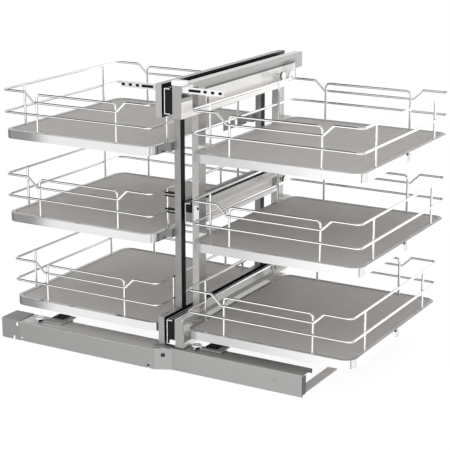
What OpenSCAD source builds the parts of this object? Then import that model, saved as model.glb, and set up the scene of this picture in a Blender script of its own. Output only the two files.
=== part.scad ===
// Blind corner pull-out: a floor rail, a trolley frame with three baskets for the blind side,
// and a second frame with three baskets that pulls straight out on three telescopic slides.
// Lengths are in millimetres. X runs along the floor rail, Y into the cabinet, Z up.

/* [Baskets] */
// Width of every basket
tray_w = 410; // [340:5:460]
// Depth of every basket
tray_d = 480; // [420:5:520]
// Corner radius of a tray
tray_r = 29; // [20:1:45]
// Height of the rim round a tray
rim_h = 20; // [16:1:26]
// Width of the rim's top
rim_t = 10; // [9:0.5:14]
// Thickness of a tray's board
board_t = 10; // [8:0.5:14]
// Height of the bottom baskets' rim edge above the floor
tier_bottom_z = 99; // [95:1:105]
// Height of the middle baskets' rim edge above the floor
tier_middle_z = 305; // [290:1:312]
// Height of the top baskets' rim edge above the floor
tier_top_z = 505; // [480:1:515]
// Distance of the upper baskets from the slide plane
upper_gap = 49; // [46:1:60]
// Distance of the bottom baskets from the slide plane
lower_gap = 35.5; // [35:0.5:40]

/* [Gallery wires] */
// Diameter of the gallery wire
wire_d = 5.5; // [4:0.5:6]
// Height of the top wire above the rim
top_wire_h = 93.5; // [80:0.5:100]
// Height of the middle wire above the rim
middle_wire_h = 42; // [35:0.5:48]
// Drop of the top wire between the dips at the front and the back
dip_drop = 23; // [14:0.5:26]
// Half width of the lowered stretch of the top wire
dip_half = 114; // [95:1:120]
// Half distance between the legs of the loop at the front and the back
loop_half = 109; // [90:1:115]
// Drop of the loop's top below the top wire
loop_drop = 4.5; // [2:0.5:8]
// Distance of the side uprights from the trays' ends
upright_end = 78; // [60:1:120]
// Bend radius of the wires at a basket's corners
corner_bend = 13; // [9:0.5:24]

/* [Frames] */
// Height of the top beams
top_beam_h = 73; // [66:1:80]
// Underside of the top beams above the floor
top_beam_z = 577; // [570:1:590]
// Height of the bottom beams
bottom_beam_h = 65.5; // [62:0.5:70]
// Underside of the bottom beams above the floor
bottom_beam_z = 54.5; // [54.5:0.5:58]
// Height of the middle beams
middle_beam_h = 46; // [40:1:52]
// Middle of the middle slide above the floor
middle_slide_z = 346; // [335:1:360]
// Distance of the beams' front ends in front of the trays
beam_front = 5; // [2:0.5:10]
// Length of the top beams
top_beam_len = 572; // [560:1:590]
// Width of the rear frame's beams and posts
rear_beam_w = 16; // [14:0.5:20]
// Width of the front frame's beams
front_beam_w = 22; // [20:0.5:22]
// Front face of the rear frame's front post behind the tray fronts
rear_post_y = 70; // [60:1:90]
// Front face of the front frame's front post behind the tray fronts
front_post_y = 75; // [60:1:90]

/* [Slides] */
// Height of the top and bottom slides
slide_h = 57; // [52:0.5:60]
// Height of the middle slide
middle_slide_h = 45; // [42:0.5:46]
// Sheet thickness of the slide members
slide_t = 2; // [1.6:0.1:2.2]
// Pull-out travel of the front frame
pull_travel = 450; // [400:5:460]

/* [Floor rail] */
// Length of the left rail with its end block
left_rail_len = 434.5; // [425:0.5:440]
// Length of the right rail
right_rail_len = 330; // [325:1:400]
// Height of the left rail
left_rail_h = 47.5; // [44:0.5:48]
// Height of the right rail
right_rail_h = 51; // [48:0.5:51]
// Sheet thickness of the rails
rail_t = 2; // [1.5:0.1:2.5]
// Diameter of the floor screws' holes
screw_hole_d = 5.5; // [4.5:0.1:6.5]
// Diameter of the rail wheels
wheel_d = 8; // [7:0.5:10]
// Diameter of the rear floor wheel
floor_wheel_d = 40; // [36:1:42]

/* [Hidden] */
$fn = 64;
// Clearance between parts that move past each other
run_gap = 0.3;
// Radial clearance of a wheel on its axle
axle_gap = 0.05;
// Clearance of a panel in its rim
fit_gap = 0.2;
// Overshoot of a cut through a face
cut = 1;

sides = [-1, 1];
side_names = ["rear", "front"];
tiers = [0, 1, 2];
tier_names = ["bottom", "middle", "top"];
tier_z = [tier_bottom_z, tier_middle_z, tier_top_z];

// Layers of the slide stack, from the rear frame to the front frame
stack_half = 33;
rear_x = -32;
rear_face = rear_x + rear_beam_w;
spacer_t = 5.6;
front_web = stack_half - front_beam_w;
outer_x = rear_face + spacer_t;

// Places along the depth
beam_y = -beam_front;
bottom_beam_len = top_beam_len - 32;
// The back posts stand under the trays' back edges
post_inset = 104;
post_pitch = tray_d - post_inset;
// The slides' ends sit a little behind the beams' ends
slide_set_back = 0.5;
slide_short = 12;
middle_slide_inset = 8;
slide_y = [beam_y + slide_set_back, rear_post_y + middle_slide_inset, beam_y + slide_set_back];
slide_len = [bottom_beam_len - slide_short, post_pitch + 36, top_beam_len - slide_short];
slide_z = [bottom_beam_z + bottom_beam_h / 2, middle_slide_z, top_beam_z + top_beam_h / 2];
slide_half = [slide_h / 2, middle_slide_h / 2, slide_h / 2];
middle_beam_z = middle_slide_z - middle_beam_h / 2;
top_beam_top = top_beam_z + top_beam_h;
bottom_beam_top = bottom_beam_z + bottom_beam_h;

// Front face of each rail, and the depth of its top plate
left_rail_y = -27.5;
left_rail_d = 60.5;
right_rail_y = -10;
right_rail_d = 48;
left_rail_x = -464.5;
left_rail_end = left_rail_x + left_rail_len;
right_rail_x = 5;
right_rail_end = right_rail_x + right_rail_len;
end_block_w = 52;
end_block_d = 58.5;
end_block_h = left_rail_h + 2;
rail_lip = 10;
// A shallow groove runs along the front edge of each rail's top plate
groove_w = 4;
groove_h = 1;
// Notches at the foot of the left rail and its end block
notch_w = 7.5;
notch_h = 9;
joint_x = -39.5;
joint_h = 53;

// Trolley wheels stand on the rails
trolley_x = [-368, 57];
trolley_rail_h = [left_rail_h, right_rail_h];
trolley_inset = 20.5;
trolley_y = [left_rail_y + trolley_inset, right_rail_y + trolley_inset];
wheel_w = 9;
axle_d = 3;
bar_y = 4;
bar_w = 20;
bar_z = 22;
bar_h = 18;
bar_x = -385;
bar_end = 62;
// The carriage travels until its bar meets the stop near the right rail's end
stop_inset = 23;
carriage_travel = right_rail_end - bar_end - stop_inset;
deck_t = 2.5;
deck_back = 58;
web_y = 42;
arm_z = 26;
floor_wheel_y = 440;
floor_wheel_w = 14;
floor_axle_d = 8;
fork_t = 3;

// Datum of the assembly, measured from the middle of the object's footprint
seam_t = 1.5;
right_edge = upper_gap + tray_w + seam_t;
back_edge = beam_y + top_beam_len;
datum = [-(left_rail_x + right_edge) / 2, -(left_rail_y + back_edge) / 2, 0];

chrome = [0.86, 0.86, 0.86];
steel = [0.68, 0.68, 0.66];
panel_grey = [0.56, 0.54, 0.51];
black = [0.06, 0.06, 0.06];
white = [0.92, 0.92, 0.90];

// Shared shapes

// A block between two corners
module block(low, high) {
    translate(low) cube(high - low);
}

module rounded_plate(w, d, r, h) {
    linear_extrude(h) {
        square([w - 2 * r, d], center = true);
        square([w, d - 2 * r], center = true);
        for (sx = sides, sy = sides) translate([sx * (w / 2 - r), sy * (d / 2 - r)]) circle(r);
    }
}

function unit(v) = v / norm(v);
function turn(a, b) = atan2(a.x * b.y - a.y * b.x, a * b);

// A bent wire swells a little at its bends, and each bend laps on to the straight runs by a small angle
bend_swell = 0.1;
bend_lap = 2;

// A round wire along points in the XY plane, with its corners bent to a radius
module wire(points, bend) {
    last = len(points) - 1;
    dirs = [for (i = [0 : last - 1]) unit(points[i + 1] - points[i])];
    turns = [for (i = [0 : last]) i == 0 || i == last ? 0 : turn(dirs[i - 1], dirs[i])];
    trims = [for (t = turns) bend * tan(abs(t) / 2)];
    for (i = [0 : last - 1]) {
        run = norm(points[i + 1] - points[i]) - trims[i] - trims[i + 1];
        if (run > cut) translate(points[i] + dirs[i] * trims[i])
            rotate([0, 90, atan2(dirs[i].y, dirs[i].x)]) cylinder(d = wire_d, h = run);
    }
    for (i = [1 : 1 : last - 1]) {
        normal = sign(turns[i]) * [-dirs[i - 1].y, dirs[i - 1].x];
        start = atan2(-normal.y, -normal.x);
        translate(points[i] - dirs[i - 1] * trims[i] + normal * bend)
            rotate([0, 0, (turns[i] > 0 ? start : start + turns[i]) - bend_lap])
                rotate_extrude(angle = abs(turns[i]) + 2 * bend_lap)
                    translate([bend, 0]) circle(d = wire_d + bend_swell);
    }
}

// Places a basket's own frame: middle of the tray, at the rim's top edge
module at_basket(side, tier) {
    gap = tier == 0 ? lower_gap : upper_gap;
    translate(datum + [side * (gap + tray_w / 2), tray_d / 2, tier_z[tier]]) children();
}

// Floor rail

module base_rail_left() {
    x0 = left_rail_x + end_block_w;
    y1 = left_rail_y + left_rail_d;
    tab_w = 28;
    tab_d = 30;
    color(steel) translate(datum) difference() {
        union() {
            block([x0, left_rail_y, 0], [left_rail_end, left_rail_y + rail_t, left_rail_h]);
            block([x0, left_rail_y, left_rail_h - rail_t], [left_rail_end, y1, left_rail_h]);
            block([x0, y1 - rail_t, left_rail_h - rail_lip], [left_rail_end, y1, left_rail_h]);
            for (x = [x0, left_rail_end - tab_w])
                block([x, left_rail_y, 0], [x + tab_w, left_rail_y + tab_d, rail_t]);
        }
        for (x = [x0 + 2, left_rail_end - 20])
            block([x, left_rail_y - cut, -cut], [x + notch_w, left_rail_y + rail_t + cut, notch_h]);
        for (x = [x0 + tab_w / 2, left_rail_end - tab_w / 2])
            translate([x, left_rail_y + tab_d / 2 + 2, -cut]) cylinder(d = screw_hole_d, h = rail_t + 2 * cut);
        block([x0 - cut, left_rail_y + rail_t, left_rail_h - groove_h],
              [left_rail_end + cut, left_rail_y + rail_t + groove_w, left_rail_h + cut]);
    }
}

module base_rail_right() {
    x1 = right_rail_end;
    y0 = right_rail_y;
    y1 = right_rail_y + right_rail_d;
    flange_d = 18;
    flange_h = 42;
    dimple = [270, y0, 28.5];
    dimple_r = 4.5;
    color(steel) translate(datum) difference() {
        union() {
            block([right_rail_x, y0, 0], [x1, y0 + rail_t, right_rail_h]);
            block([right_rail_x, y0, right_rail_h - rail_t], [x1, y1, right_rail_h]);
            block([right_rail_x, y1 - rail_t, right_rail_h - rail_lip], [x1, y1, right_rail_h]);
            block([x1 - rail_t, y0, 4], [x1, y0 + flange_d, 4 + flange_h]);
        }
        translate(dimple) rotate([90, 0, 0]) cylinder(r = dimple_r, h = 1.6, center = true);
        block([right_rail_x - cut, y0 + rail_t, right_rail_h - groove_h],
              [x1 + cut, y0 + rail_t + groove_w, right_rail_h + cut]);
    }
}

// A slanted plate between the rails' fronts, with a cap on top and a floor plate that both rails sit on
module joint_bracket() {
    hole_x = -12.5;
    hole_y = 35;
    hole_d = 6;
    plate_t = 2;
    reach = 60;
    lap = 26;
    cap_y = left_rail_y + 8.5;
    back_y = 30;
    upstand_h = 12;
    tab_in = 14;
    tab_back = 17;
    tab_screw = [left_rail_end - tab_in, left_rail_y + tab_back];
    tab_screw_room = 12;
    color(steel) translate(datum) difference() {
        union() {
            linear_extrude(right_rail_h) polygon([
                [left_rail_end, left_rail_y], [right_rail_x, right_rail_y],
                [right_rail_x, right_rail_y + plate_t], [left_rail_end, left_rail_y + plate_t]]);
            block([joint_x, cap_y, joint_h - plate_t], [right_rail_x, 0, joint_h]);
            block([left_rail_end - lap, left_rail_y + rail_t, rail_t], [left_rail_end, 0, rail_t + plate_t]);
            block([left_rail_end, right_rail_y + rail_t, rail_t],
                  [right_rail_x + reach, back_y, rail_t + plate_t]);
            block([left_rail_end, right_rail_y + rail_t, rail_t],
                  [right_rail_x + reach, right_rail_y + rail_t + plate_t, upstand_h]);
        }
        translate([hole_x, left_rail_y, hole_y]) rotate([90, 0, 0])
            cylinder(d = hole_d, h = 2 * left_rail_d, center = true);
        translate([tab_screw.x, tab_screw.y, 0]) cylinder(d = tab_screw_room, h = upstand_h);
    }
}

module floor_strap() {
    strap_w = 25;
    strap_t = 3;
    strap_len = 184;
    x0 = right_rail_end - strap_w - 3;
    y0 = right_rail_y + rail_t;
    color(steel) translate(datum) difference() {
        block([x0, y0, 0], [x0 + strap_w, y0 + strap_len, strap_t]);
        translate([x0 + strap_w / 2, y0 + strap_len - 46.5, -cut])
            cylinder(d = screw_hole_d, h = strap_t + 2 * cut);
    }
}

module end_block() {
    x0 = left_rail_x;
    x1 = x0 + end_block_w;
    y0 = left_rail_y;
    y1 = y0 + end_block_d;
    wall = 2.5;
    notch_in = 21;
    color(steel) translate(datum) difference() {
        block([x0, y0, 0], [x1, y1, end_block_h]);
        block([x0 + wall, y0 + wall, -cut], [x1 + cut, y1 + cut, end_block_h - wall]);
        block([x1 - notch_in, y0 - cut, -cut], [x1 - notch_in + notch_w, y0 + wall + cut, notch_h]);
        plug_shape(wall + 2 * cut, y0 - cut);
    }
}

// The oval plug in the front of the end block
module plug_shape(depth, y) {
    plug_w = 5;
    plug_h = 9.5;
    plug_z = end_block_h - 10;
    x = left_rail_x + end_block_w - 6;
    translate([x, y, plug_z]) rotate([-90, 0, 0]) {
        for (s = sides) translate([0, s * (plug_h - plug_w) / 2, 0]) cylinder(d = plug_w, h = depth);
        translate([-plug_w / 2, -(plug_h - plug_w) / 2, 0]) cube([plug_w, plug_h - plug_w, depth]);
    }
}

module end_plug() {
    color(white) translate(datum) plug_shape(3, left_rail_y - 0.5);
}

// Rubber stops under the rails' top plates, at both ends of the carriage bar's travel
module travel_stops() {
    stop_t = 6;
    low = bar_z + bar_h - 4;
    color(black) translate(datum) {
        block([bar_x - run_gap - stop_t, bar_y + 2, low],
              [bar_x - run_gap, bar_y + bar_w - 2, left_rail_h - rail_t]);
        block([bar_end + carriage_travel + run_gap, bar_y + 2, low],
              [bar_end + carriage_travel + run_gap + stop_t, bar_y + bar_w - 2, right_rail_h - rail_t]);
    }
}

// Carriage

module carriage_bar() {
    color(steel) translate(datum) difference() {
        block([bar_x, bar_y, bar_z], [bar_end, bar_y + bar_w, bar_z + bar_h]);
        block([bar_x - cut, bar_y + 2, bar_z + 2], [bar_end + cut, bar_y + bar_w - 2, bar_z + bar_h - 2]);
    }
}

function wheel_z(i) = trolley_rail_h[i] + run_gap + wheel_d / 2;
function cheek_y(i) = trolley_y[i] + wheel_w / 2 + run_gap;
function hood_z(i) = trolley_rail_h[i] + wheel_d + 2 * run_gap;
// Clearance of the trolley decks above the rails
deck_lift = 1.2;

// A deck above the rail, a web down behind it and an arm forward to the bar.
// A cheek holds the wheel's pin, and a round dished hood covers the wheel.
module trolleys() {
    deck_x = 12;
    deck_len = 50;
    cheek_half = 7;
    bar_lap = 20;
    hood_d = 22;
    hood_h = 3;
    dish_d = 13;
    dish_h = 1.2;
    hood_set_back = 3;
    color(steel) translate(datum) for (i = [0, 1]) {
        x = trolley_x[i];
        low = trolley_rail_h[i] + deck_lift;
        x1 = x + deck_x + deck_len;
        hood = [x, trolley_y[i] + hood_set_back, hood_z(i)];
        difference() {
            union() {
                block([x + deck_x, cheek_y(i), low], [x1, deck_back, low + deck_t]);
                block([x + deck_x, web_y, arm_z], [x1, web_y + deck_t, low + deck_t]);
                block([min(x + deck_x, bar_end - bar_lap), bar_y + bar_w, arm_z],
                      [x1, web_y + deck_t, arm_z + deck_t]);
                block([x - cheek_half, cheek_y(i), low], [x + deck_x, cheek_y(i) + deck_t, hood_z(i)]);
                translate(hood) cylinder(d = hood_d, h = hood_h);
            }
            translate([x, cheek_y(i) - cut, wheel_z(i)]) rotate([-90, 0, 0])
                cylinder(d = axle_d, h = deck_t + 2 * cut);
            translate(hood + [0, 0, hood_h - dish_h]) cylinder(d = dish_d, h = hood_h);
        }
    }
}

module trolley_pads() {
    pad = [30, 30, 1.6];
    pad_x = 16;
    pad_back = deck_back - 2;
    color(black) translate(datum) for (i = [0, 1])
        translate([trolley_x[i] + pad_x, pad_back - pad.y, trolley_rail_h[i] + deck_lift + deck_t]) cube(pad);
}

// Pins of the two rail wheels, with a head in front, and the pin of the floor wheel
module wheel_axles() {
    head_t = 1.2;
    fork_half = floor_wheel_w / 2 + run_gap + fork_t;
    color(chrome) translate(datum) {
        for (i = [0, 1]) translate([trolley_x[i], trolley_y[i] - wheel_w / 2 - run_gap, wheel_z(i)])
            rotate([-90, 0, 0]) {
                cylinder(d = axle_d, h = wheel_w + 2 * run_gap + deck_t);
                translate([0, 0, -head_t]) cylinder(d = axle_d + 2, h = head_t);
            }
        translate([rear_x + rear_beam_w / 2, floor_wheel_y - fork_half, floor_wheel_d / 2])
            rotate([-90, 0, 0]) cylinder(d = floor_axle_d, h = 2 * fork_half);
    }
}

module carriage_foot() {
    foot_x = [rear_x - 8, rear_face + 8];
    color(steel) translate(datum) {
        block([foot_x[0], web_y, arm_z], [foot_x[1], web_y + 20, bottom_beam_z]);
        block([foot_x[0], bar_y + bar_w, arm_z], [foot_x[1], web_y, arm_z + 10]);
    }
}

module floor_wheel_fork() {
    x0 = rear_x;
    x1 = rear_face;
    inner = floor_wheel_w / 2 + run_gap;
    outer = inner + fork_t;
    plate_t = 4;
    z1 = bottom_beam_z;
    z0 = floor_wheel_d / 2;
    fork_low = z0 - floor_axle_d;
    mid = [(x0 + x1) / 2, floor_wheel_y, z0];
    color(steel) translate(datum) difference() {
        union() {
            block([x0, floor_wheel_y - outer, z1 - plate_t], [x1, floor_wheel_y + outer, z1]);
            block([x0, floor_wheel_y - outer, fork_low], [x1, floor_wheel_y - inner, z1]);
            block([x0, floor_wheel_y + inner, fork_low], [x1, floor_wheel_y + outer, z1]);
        }
        translate(mid) rotate([90, 0, 0]) cylinder(d = floor_axle_d, h = 4 * outer, center = true);
    }
}

module rail_wheel(i) {
    color(black) translate(datum + [trolley_x[i], trolley_y[i], wheel_z(i)]) rotate([90, 0, 0])
        difference() {
            cylinder(d = wheel_d, h = wheel_w, center = true);
            cylinder(d = axle_d + 2 * axle_gap, h = wheel_w + 2 * cut, center = true);
        }
}

module floor_wheel() {
    color(black) translate(datum + [rear_x + rear_beam_w / 2, floor_wheel_y, floor_wheel_d / 2])
        rotate([90, 0, 0]) difference() {
            cylinder(d = floor_wheel_d, h = floor_wheel_w, center = true);
            cylinder(d = floor_axle_d + 2 * axle_gap, h = floor_wheel_w + 2 * cut, center = true);
            for (s = sides) translate([0, 0, s * floor_wheel_w / 2]) difference() {
                cylinder(d = floor_wheel_d - 8, h = 5, center = true);
                cylinder(d = floor_axle_d + 8, h = 6, center = true);
            }
        }
}

// Rear frame

// A rectangular tube along Y, closed at the front
module rear_beam(z, h, y, length) {
    wall = 2;
    color(steel) translate(datum) difference() {
        block([rear_x, y, z], [rear_face, y + length, z + h]);
        block([rear_x + wall, y + wall, z + wall], [rear_face - wall, y + length + cut, z + h - wall]);
    }
}

rear_post_d = 17;

module rear_post(y) {
    wall = 2;
    color(steel) translate(datum) difference() {
        block([rear_x, y, bottom_beam_top], [rear_face, y + rear_post_d, top_beam_z]);
        block([rear_x + wall, y + wall, bottom_beam_top - cut],
              [rear_face - wall, y + rear_post_d - wall, top_beam_z + cut]);
    }
}

// Black cover strips on the sides of the rear posts that face the slides, and the clips that hold
// the middle rear basket's front inner upright to the post
module rear_post_trim() {
    strip_t = 1;
    low_clip_h = 36;
    high_clip_h = 74;
    clip_half = 5;
    clip_t = 10;
    clip_x = -upper_gap - upright_in;
    color(black) translate(datum) {
        for (y = [rear_post_y, rear_post_y + post_pitch])
            block([rear_face, y, bottom_beam_top], [rear_face + strip_t, y + rear_post_d, top_beam_z]);
        difference() {
            for (h = [low_clip_h, high_clip_h])
                block([clip_x - clip_half, upright_end - clip_half, tier_middle_z + h],
                      [rear_x, upright_end + clip_half, tier_middle_z + h + clip_t]);
            translate([clip_x, upright_end, tier_middle_z]) cylinder(d = wire_d + 2 * fit_gap, h = top_wire_h);
            translate([-upper_gap - wire_in, 0, tier_middle_z + middle_wire_h])
                rotate([-90, 0, 0]) cylinder(d = wire_d + 2 * fit_gap, h = tray_d);
        }
    }
}

// A flat arm with a slot and three holes, bent on to the side of a top beam
module arm(side, root, start) {
    bar_low = top_beam_z + 58;
    bar_height = 13;
    thick = 3;
    flange = 42;
    hole_d = 6;
    slot_run = 24;
    hole_start = 14;
    hole_pitch = 18.5;
    end_margin = 6.5;
    hole_z = bar_low + bar_height / 2;
    y0 = beam_y + 3;
    slot = [root + start, root + start + slot_run];
    holes = [for (k = [0 : 2]) slot[1] + hole_start + k * hole_pitch];
    reach = holes[2] + end_margin;
    color(chrome) translate(datum) difference() {
        union() {
            block([min(side * root, side * reach), y0, bar_low],
                  [max(side * root, side * reach), y0 + thick, bar_low + bar_height]);
            block([min(side * root, side * (root + thick)), y0, bar_low],
                  [max(side * root, side * (root + thick)), y0 + flange, bar_low + bar_height]);
        }
        for (x = concat(holes, slot)) translate([side * x, y0, hole_z]) rotate([90, 0, 0])
            cylinder(d = hole_d, h = 4 * thick, center = true);
        block([min(side * slot[0], side * slot[1]), y0 - cut, hole_z - hole_d / 2],
              [max(side * slot[0], side * slot[1]), y0 + thick + cut, hole_z + hole_d / 2]);
    }
}

module rear_arm() {
    slot_start = 10;
    arm(-1, -rear_x, slot_start);
}

module front_arm() {
    slot_start = 20;
    arm(1, stack_half, slot_start);
}

module slide_spacers() {
    spacer_set_back = 8;
    spacer_h = 24;
    color(black) translate(datum) for (i = tiers) {
        y0 = i == 1 ? rear_post_y + rear_post_d : slide_y[i] + spacer_set_back;
        y1 = i == 1 ? rear_post_y + post_pitch : slide_y[i] + slide_len[i];
        block([rear_face, y0, slide_z[i] - spacer_h / 2], [outer_x, y1, slide_z[i] + spacer_h / 2]);
    }
}

// Brackets between the baskets' rims and the frames
hook_low = 4;
hook_high = 4;

module rear_hooks() {
    hook_front = 15;
    y0 = rear_post_y - hook_front;
    color(steel) translate(datum) for (tier = tiers, back = [0, 1]) {
        gap = tier == 0 ? lower_gap : upper_gap;
        y = y0 + back * post_pitch;
        block([-gap, y, tier_z[tier] - rim_h + hook_low],
              [rear_x, y + hook_front + rear_post_d, tier_z[tier] + hook_high]);
    }
}

// Front frame

// A lipped channel along Y, open to the baskets
module channel(z, h, y, length, lip) {
    wall = 2;
    block([front_web, y, z], [front_web + wall, y + length, z + h]);
    for (edge = [z, z + h - wall]) block([front_web, y, edge], [stack_half, y + length, edge + wall]);
    for (edge = [z, z + h - lip]) block([stack_half - wall, y, edge], [stack_half, y + length, edge + lip]);
}

// The top channel is closed by a box at the front and a plate at the back.
// Its web has a slot, and its lower flange a notch for the front post.
module front_top_beam() {
    lip = 11;
    wall = 2;
    box_len = 47;
    box_h = 45;
    slot_y = 139;
    slot_w = 6.5;
    slot_z = top_beam_z + 11;
    slot_h = 14;
    back_plate = 33;
    color(steel) translate(datum) difference() {
        union() {
            channel(top_beam_z, top_beam_h, beam_y, top_beam_len, lip);
            block([front_web, beam_y, top_beam_z], [stack_half, beam_y + wall, top_beam_top]);
            block([front_web, beam_y, top_beam_z], [stack_half, beam_y + box_len, top_beam_z + box_h]);
            block([stack_half - wall, back_edge - back_plate, top_beam_z],
                  [stack_half, back_edge, top_beam_top]);
        }
        block([front_web - cut, slot_y, slot_z], [front_web + wall + cut, slot_y + slot_w, slot_z + slot_h]);
        block([front_web + wall, front_post_y, top_beam_z - cut],
              [post_x + post_w, front_post_y + post_d, top_beam_z + wall + cut]);
    }
}

module front_bottom_beam() {
    lip = 11;
    corner = 7;
    color(steel) translate(datum) {
        channel(bottom_beam_z, bottom_beam_h, beam_y + 2, bottom_beam_len, lip);
        translate([0, beam_y + 2, 0]) rotate([90, 0, 0]) linear_extrude(2) {
            translate([front_web, bottom_beam_z]) square([front_beam_w - corner, bottom_beam_h]);
            translate([front_web, bottom_beam_z]) square([front_beam_w, bottom_beam_h - corner]);
            translate([stack_half - corner, bottom_beam_top - corner]) circle(corner);
        }
    }
}

module front_middle_beam() {
    lip = 9;
    y0 = front_post_y + post_d;
    hole_d = 7;
    color(steel) translate(datum) difference() {
        channel(middle_beam_z, middle_beam_h, y0, post_pitch - post_d, lip);
        for (y = flange_holes) translate([front_web + front_beam_w / 2 - 2, y, middle_beam_z + middle_beam_h])
            cylinder(d = hole_d, h = 10, center = true);
    }
}

// Places along the depth of the holes in the middle beam's top flange
flange_holes = [265, 360, 395];

// Front posts stand on the bottom channel; the front one rises into the top channel
post_x = front_web;
post_w = 17;
post_d = 31;

module front_post(y, rises) {
    wall = 2;
    inside_top = rises ? top_beam_top - 2 * wall : top_beam_z + cut;
    color(steel) translate(datum) difference() {
        union() {
            block([post_x, y, bottom_beam_top], [post_x + post_w, y + post_d, top_beam_z]);
            if (rises)
                block([post_x + wall, y, top_beam_z - wall],
                      [post_x + post_w, y + post_d, top_beam_top - wall]);
        }
        block([post_x + 2 * wall, y + wall, bottom_beam_top - cut],
              [post_x + post_w - wall, y + post_d - wall, inside_top]);
    }
}

// White plastic cap over the top slide and glide at the bottom slide
module front_glides() {
    cap_over = [2, 5];
    cap_d = 20;
    cap_h = 10;
    glide_t = 4;
    glide_lap = 3;
    glide_z = bottom_beam_z + 6;
    glide_h = 10;
    color(white) translate(datum) {
        block([front_web - cap_over[0], beam_y, top_beam_top],
              [stack_half + cap_over[1], beam_y + cap_d, top_beam_top + cap_h]);
        block([0, beam_y - glide_t, glide_z], [front_web + glide_lap, beam_y, glide_z + glide_h]);
    }
}

// A round knob on a stem that stands out along X
module knob(root, stem) {
    translate(root) rotate([0, 90, 0]) {
        cylinder(d = 8, h = stem);
        translate([0, 0, stem]) cylinder(d = 20, h = 2);
        translate([0, 0, stem + 2]) cylinder(d = 15, h = 2);
        translate([0, 0, stem + 4]) cylinder(d = 20, h = 2);
    }
}

// A knob on the top beam's web and one on the back post, and a round screw plate behind the upper knob
module front_catch() {
    wall = 2;
    knob_over = 2;
    back_post_y = front_post_y + post_pitch;
    web_face = front_web + wall;
    post_face = post_x + post_w;
    bracket_room = 10;
    bracket_d = 30;
    bracket_t = 4;
    plate_d = 28;
    plate_t = 3;
    hole_d = 6;
    bracket_y = back_post_y + post_d + bracket_room;
    plate = [stack_half, bracket_y + bracket_d / 2, top_beam_z + 21];
    color(chrome) translate(datum) {
        knob([web_face, back_post_y + 4, top_beam_z + 29], stack_half - web_face + knob_over);
        knob([post_face, back_post_y + 20, middle_slide_z], stack_half - post_face + knob_over);
        difference() {
            union() {
                block([web_face, bracket_y, plate.z - 2 * bracket_t],
                      [stack_half, bracket_y + bracket_d, plate.z - bracket_t]);
                translate(plate) rotate([0, 90, 0]) cylinder(d = plate_d, h = plate_t);
            }
            translate(plate - [cut, 0, 0]) rotate([0, 90, 0]) cylinder(d = hole_d, h = plate_t + 2 * cut);
        }
    }
}

module front_hooks() {
    color(steel) translate(datum) for (tier = tiers, back = [0, 1]) {
        gap = tier == 0 ? lower_gap : upper_gap;
        y = front_post_y + back * post_pitch;
        x0 = tier == 0 ? front_web + 2 : post_x + post_w;
        block([x0, y, tier_z[tier] - rim_h + hook_low], [gap, y + post_d, tier_z[tier]]);
    }
}

// Telescopic slides

ball_gap = 5;
mid_web_x = outer_x + slide_t + 1.2;
mid_t = 1.8;
function mid_half(i) = slide_half[i] - slide_t - ball_gap;
function inner_half(i) = mid_half(i) - mid_t - ball_gap;

// Thickness of the black caps that close the slides' front ends
cap_t = 4;

// A channel along Y: a web on one side and two flanges
module slide_channel(web, tip, t, half, i, start) {
    y0 = slide_y[i] + start;
    y1 = slide_y[i] + slide_len[i];
    low = min(web, tip);
    high = max(web, tip);
    web_low = web < tip ? web : web - t;
    translate([0, 0, slide_z[i]]) {
        block([web_low, y0, -half], [web_low + t, y1, half]);
        for (edge = [-half, half - t]) block([low, y0, edge], [high, y1, edge + t]);
    }
}

outer_tip = 4;
mid_tip = 6;
inner_tip = -3.6;

module slide_outer(i) {
    color(chrome) translate(datum) slide_channel(outer_x, outer_tip, slide_t, slide_half[i], i, 0);
}

module slide_intermediate(i) {
    color(steel) translate(datum) slide_channel(mid_web_x, mid_tip, mid_t, mid_half(i), i, cap_t + run_gap);
}

module slide_inner(i) {
    color(steel) translate(datum) slide_channel(front_web, inner_tip, slide_t, inner_half(i), i, cap_t);
}

// The cages sit so far back that they stay between the members when the frame is pulled out
cage_margin = 27;
cage_start = pull_travel / 4 + cage_margin;
cage_len = 160;
ball_d = ball_gap - 2 * run_gap;

// A strip that carries a row of balls between two flanges
module ball_row(x, y, z) {
    balls = 8;
    pitch = (cage_len - 12) / (balls - 1);
    translate([x - 2.5, y, z - 0.5]) cube([5, cage_len, 1]);
    for (k = [0 : balls - 1]) translate([x, y + 6 + k * pitch, z]) sphere(d = ball_d);
}

module ball_cages_outer() {
    color(chrome) translate(datum) for (i = tiers, s = sides)
        ball_row(-1.5, slide_y[i] + cage_start, slide_z[i] + s * (mid_half(i) + ball_gap / 2));
}

module ball_cages_inner() {
    color(chrome) translate(datum) for (i = tiers, s = sides)
        ball_row(1, slide_y[i] + cage_start, slide_z[i] + s * (inner_half(i) + ball_gap / 2));
}

// Black caps on the front ends of the inner members, inside the outer members' flanges
module slide_end_caps() {
    color(black) translate(datum) for (i = tiers) {
        half = slide_half[i] - slide_t - run_gap;
        block([outer_x + slide_t + run_gap, slide_y[i], slide_z[i] - half],
              [front_web, slide_y[i] + cap_t, slide_z[i] + half]);
    }
}

// Baskets

ledge_t = 2;
ledge_w = 8;
board_drop = 1;
rim_wall = 1.6;
ledge_z = rim_h - board_drop - board_t;
wire_in = 2.8;
upright_in = 7;

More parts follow.
